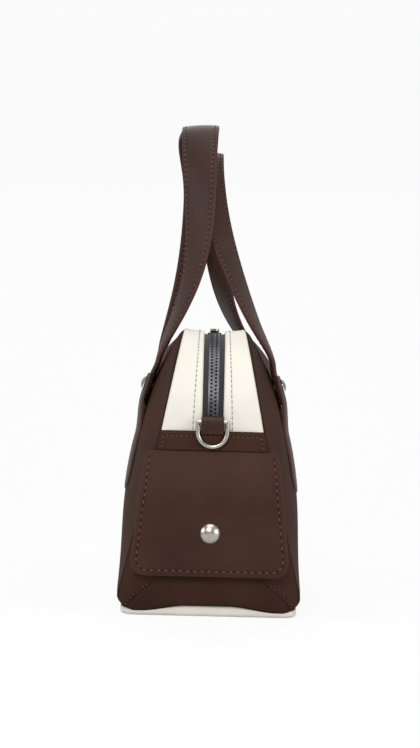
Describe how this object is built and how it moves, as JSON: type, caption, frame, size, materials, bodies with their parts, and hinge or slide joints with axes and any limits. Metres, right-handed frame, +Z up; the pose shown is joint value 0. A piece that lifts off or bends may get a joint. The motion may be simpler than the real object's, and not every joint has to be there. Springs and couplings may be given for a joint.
{
  "type": "top handle bag",
  "caption": "Two-tone leather bag with a zipped top gusset, two strap handles, and a snap-flap pocket and D-ring at each end.",
  "frame": {"origin": "middle of the base, on the surface that the bag stands on", "axes": "X along the bag, the pictured end at +X; Y depth, front at -Y; Z up"},
  "size_m": [0.281, 0.113, 0.3119],
  "materials": {
    "brown_leather": "smooth dark-brown leather with a fine grain, soft sheen",
    "strap_leather": "smooth dark-brown leather, stitched, edges painted",
    "ivory_leather": "smooth ivory leather with a fine grain",
    "lining": "plain woven lining",
    "board": "fibre board",
    "zip_tape": "woven black tape",
    "zip_teeth": "dark gunmetal teeth and sliders",
    "nickel": "polished nickel plate"
  },
  "bodies": {
    "bag": {"front_panel": "brown_leather", "rear_panel": "brown_leather", "base_panel": "ivory_leather", "base_board": "board", "lining": "lining", "slip_pocket": "lining", "front_gusset": "ivory_leather", "rear_gusset": "ivory_leather", "right_end_panel": "brown_leather", "left_end_panel": "brown_leather", "right_end_band": "brown_leather", "left_end_band": "brown_leather", "right_pocket": "brown_leather", "left_pocket": "brown_leather", "right_snap_stud": "nickel", "left_snap_stud": "nickel", "right_ring_tab": "brown_leather", "left_ring_tab": "brown_leather", "front_zip_tape": "zip_tape", "rear_zip_tape": "zip_tape", "front_zip_teeth": "zip_teeth", "rear_zip_teeth": "zip_teeth", "zip_stops": "zip_teeth", "front_strap_ends": "strap_leather", "rear_strap_ends": "strap_leather", "front_handle_tabs": "strap_leather", "rear_handle_tabs": "strap_leather", "handle_rivets": "nickel"},
    "right_flap": {"right_flap": "strap_leather", "right_snap_cap": "nickel", "right_snap_socket": "nickel"},
    "right_d_ring": {"right_d_ring": "nickel"},
    "right_slider": {"right_slider": "zip_teeth"},
    "right_pull": {"right_pull": "nickel"},
    "left_flap": {"left_flap": "strap_leather", "left_snap_cap": "nickel", "left_snap_socket": "nickel"},
    "left_d_ring": {"left_d_ring": "nickel"},
    "left_slider": {"left_slider": "zip_teeth"},
    "left_pull": {"left_pull": "nickel"},
    "front_handle": {"front_handle": "strap_leather"},
    "rear_handle": {"rear_handle": "strap_leather"}
  },
  "joints": [
    {"name": "front_handle_fold", "type": "hinge", "parent": "bag", "child": "front_handle", "pos_m": [0, -0.03978, 0.151], "axis": [1, 0, 0], "range_deg": [0, 150]},
    {"name": "rear_handle_fold", "type": "hinge", "parent": "bag", "child": "rear_handle", "pos_m": [0, 0.03978, 0.151], "axis": [-1, 0, 0], "range_deg": [0, 150]},
    {"name": "right_flap_lift", "type": "hinge", "parent": "bag", "child": "right_flap", "pos_m": [0.1265, 0, 0.099], "axis": [0, -1, 0], "range_deg": [0, 70]},
    {"name": "right_ring_swing", "type": "hinge", "parent": "bag", "child": "right_d_ring", "pos_m": [0.1283, 0, 0.118], "axis": [0, -1, 0], "range_deg": [0, 100]},
    {"name": "right_slider_slide", "type": "slide", "parent": "bag", "child": "right_slider", "axis": [1, 0, 0], "range_m": [0, 0.055]},
    {"name": "right_pull_lift", "type": "hinge", "parent": "right_slider", "child": "right_pull", "pos_m": [0.007, 0, 0.176], "axis": [0, -1, 0], "range_deg": [0, 90]},
    {"name": "left_flap_lift", "type": "hinge", "parent": "bag", "child": "left_flap", "pos_m": [-0.1265, 0, 0.099], "axis": [0, 1, 0], "range_deg": [0, 70]},
    {"name": "left_ring_swing", "type": "hinge", "parent": "bag", "child": "left_d_ring", "pos_m": [-0.1283, 0, 0.118], "axis": [0, 1, 0], "range_deg": [0, 100]},
    {"name": "left_slider_slide", "type": "slide", "parent": "bag", "child": "left_slider", "axis": [-1, 0, 0], "range_m": [0, 0.055]},
    {"name": "left_pull_lift", "type": "hinge", "parent": "left_slider", "child": "left_pull", "pos_m": [-0.007, 0, 0.176], "axis": [0, 1, 0], "range_deg": [0, 90]}
  ]
}
